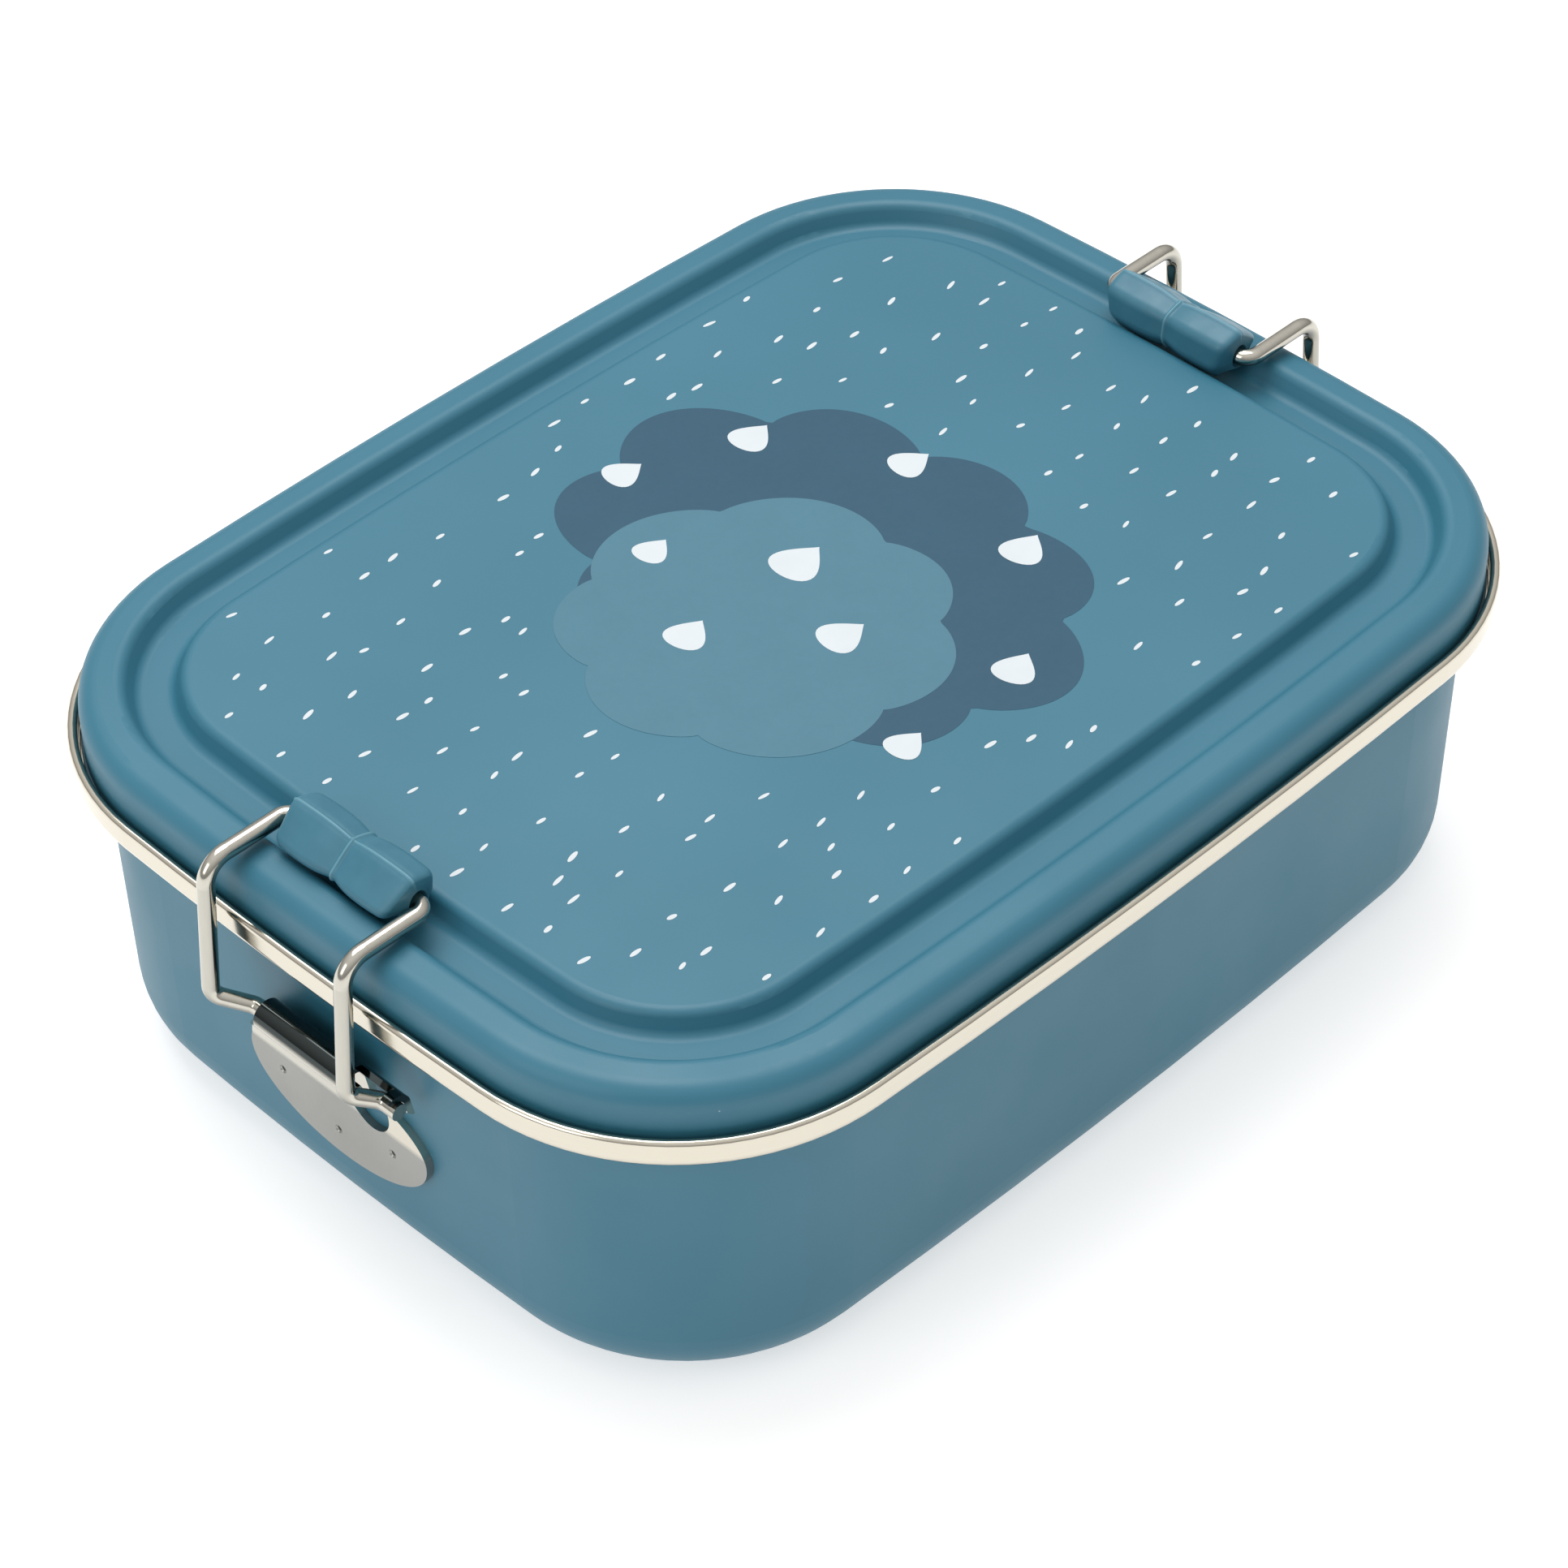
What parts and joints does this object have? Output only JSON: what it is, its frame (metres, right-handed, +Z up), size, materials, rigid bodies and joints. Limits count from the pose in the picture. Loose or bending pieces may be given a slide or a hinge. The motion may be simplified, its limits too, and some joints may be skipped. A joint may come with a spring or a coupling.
{
  "type": "lunch box",
  "caption": "Shallow rounded rectangular steel lunch box with a pressed lid, a wire bail latch with a soft grip at each end, a seal and a sliding divider.",
  "frame": {"origin": "middle of the flat underside of the tub", "axes": "+X along the box from the left latch to the right latch, +Y across it, +Z up out of the tub"},
  "size_m": [0.189, 0.139, 0.0639],
  "materials": {
    "painted_steel": "matt fine-grain powder coat, dusty blue",
    "bare_steel": "satin stainless steel",
    "polished_wire": "bright drawn stainless wire",
    "silicone_grip": "satin moulded silicone, mid blue",
    "silicone_seal": "matt moulded silicone, dark blue"
  },
  "bodies": {
    "tub_body": {"tub": "painted_steel", "right_latch_bracket": "bare_steel", "left_latch_bracket": "bare_steel"},
    "lid_body": {"lid": "painted_steel", "lid_seal": "silicone_seal"},
    "right_bail": {"right_wire_bail": "polished_wire", "right_grip": "silicone_grip"},
    "left_bail": {"left_wire_bail": "polished_wire", "left_grip": "silicone_grip"},
    "divider": {"divider_plate": "bare_steel", "divider_trim": "silicone_seal"}
  },
  "joints": [
    {"name": "lid_lift", "type": "slide", "parent": "tub_body", "child": "lid_body", "axis": [0, 0, 1], "range_m": [0, 0.0054]},
    {"name": "right_bail_hinge", "type": "hinge", "parent": "tub_body", "child": "right_bail", "pos_m": [0.0898, 0, 0.0368], "axis": [0, 1, 0], "range_deg": [0, 155]},
    {"name": "left_bail_hinge", "type": "hinge", "parent": "tub_body", "child": "left_bail", "pos_m": [-0.0898, 0, 0.0368], "axis": [0, -1, 0], "range_deg": [0, 155]},
    {"name": "divider_slide", "type": "slide", "parent": "tub_body", "child": "divider", "axis": [1, 0, 0], "range_m": [-0.06, 0.005]}
  ],
  "couplings": [
    {"joint": "right_bail_hinge", "follows": "lid_lift", "rad_per_m": 500},
    {"joint": "left_bail_hinge", "follows": "lid_lift", "rad_per_m": 500}
  ]
}
